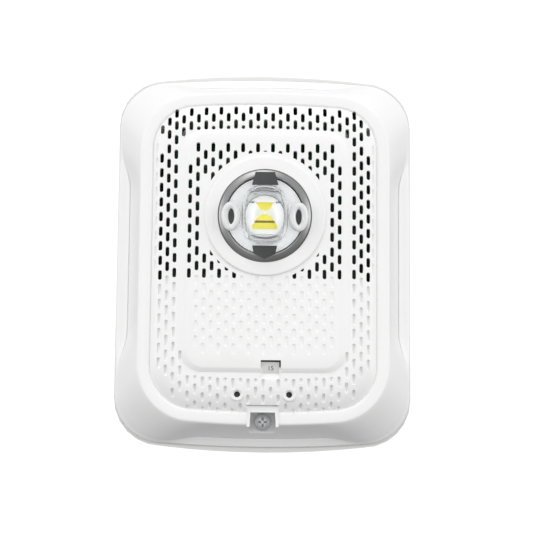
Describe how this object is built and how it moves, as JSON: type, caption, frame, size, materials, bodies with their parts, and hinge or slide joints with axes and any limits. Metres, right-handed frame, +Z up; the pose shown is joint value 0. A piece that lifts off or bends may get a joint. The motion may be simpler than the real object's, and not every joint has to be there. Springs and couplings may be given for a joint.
{
  "type": "horn strobe",
  "caption": "Wall-mounted fire alarm horn strobe: a slotted rounded cover with a clear LED lens, hinged on a mounting plate and held by a captive screw.",
  "frame": {"origin": "centre of the mounting plate's back face, on the wall plane", "axes": "+X to the right as seen from the room, +Z up the wall, +Y into the wall; the front faces -Y"},
  "size_m": [0.119, 0.0345, 0.154],
  "materials": {
    "cover_white": "fine moulded texture, satin",
    "plate_white": "moulded, satin",
    "black_plastic": "matte",
    "grey_plastic": "matte",
    "clear_lens": "polished clear plastic",
    "bright_ring": "bright turned metal",
    "gasket_rubber": "matte",
    "reflector_white": "gloss",
    "led_phosphor": "yellow phosphor under clear resin",
    "led_board_white": "white solder mask",
    "aluminium_sink": "pressed sheet",
    "board_green": "green solder mask",
    "contact_brass": "pressed brass",
    "spring_steel": "rolled",
    "zinc_screw": "bright zinc plate",
    "capacitor_sleeve": "shrink sleeve",
    "ferrite": "sintered, with copper winding",
    "chip_epoxy": "moulded epoxy",
    "piezo_white": "silvered ceramic",
    "slider_white": "satin, printed numbers"
  },
  "bodies": {
    "wall_plate": {"mounting_plate": "plate_white", "screw_insert": "contact_brass", "terminal_block": "black_plastic", "terminal_clamps": "contact_brass", "terminal_screws": "zinc_screw", "contact_springs": "contact_brass", "shorting_spring": "spring_steel"},
    "appliance": {"front_cover": "cover_white", "rear_chassis": "black_plastic", "chassis_screws": "zinc_screw", "lens": "clear_lens", "lens_ring": "bright_ring", "lens_gasket": "gasket_rubber", "upper_lens_clip": "grey_plastic", "lower_lens_clip": "grey_plastic", "reflector": "reflector_white", "led_emitter": "led_phosphor", "led_board": "led_board_white", "heat_sink": "aluminium_sink", "led_posts": "contact_brass", "main_board": "board_green", "board_screws": "zinc_screw", "contact_carrier": "black_plastic", "contact_blades": "contact_brass", "storage_capacitors": "capacitor_sleeve", "inductor": "ferrite", "controller_chip": "chip_epoxy", "driver_chips": "chip_epoxy", "rectifier_diodes": "chip_epoxy", "candela_switch": "grey_plastic", "tone_switch": "grey_plastic", "sounder_case": "black_plastic", "sounder_cap": "grey_plastic", "piezo_disc": "contact_brass", "piezo_ceramic": "piezo_white", "sounder_pins": "contact_brass"},
    "setting_slider": {"candela_slider": "slider_white"},
    "tone_selector": {"tone_rotor": "slider_white"},
    "screw_carriage": {"screw_retainer": "spring_steel"},
    "screw": {"captive_screw": "zinc_screw"}
  },
  "joints": [
    {"name": "cover_swing", "type": "hinge", "parent": "wall_plate", "child": "appliance", "pos_m": [0, -0.0039, 0.0687], "axis": [-1, 0, 0], "range_deg": [0, 14]},
    {"name": "candela_slide", "type": "slide", "parent": "appliance", "child": "setting_slider", "axis": [1, 0, 0], "range_m": [0, 0.0312]},
    {"name": "tone_turn", "type": "hinge", "parent": "appliance", "child": "tone_selector", "pos_m": [0.028, -0.01, -0.047], "axis": [0, 1, 0], "range_deg": [0, 270]},
    {"name": "screw_travel", "type": "slide", "parent": "appliance", "child": "screw_carriage", "axis": [0, 1, 0], "range_m": [0, 0.003]},
    {"name": "screw_turn", "type": "hinge", "parent": "screw_carriage", "child": "screw", "pos_m": [0, -0.01, -0.065], "axis": [0, 1, 0], "range_deg": [0, 1361]}
  ],
  "couplings": [
    {"joint": "screw_turn", "follows": "screw_travel", "rad_per_m": 7913.3}
  ]
}
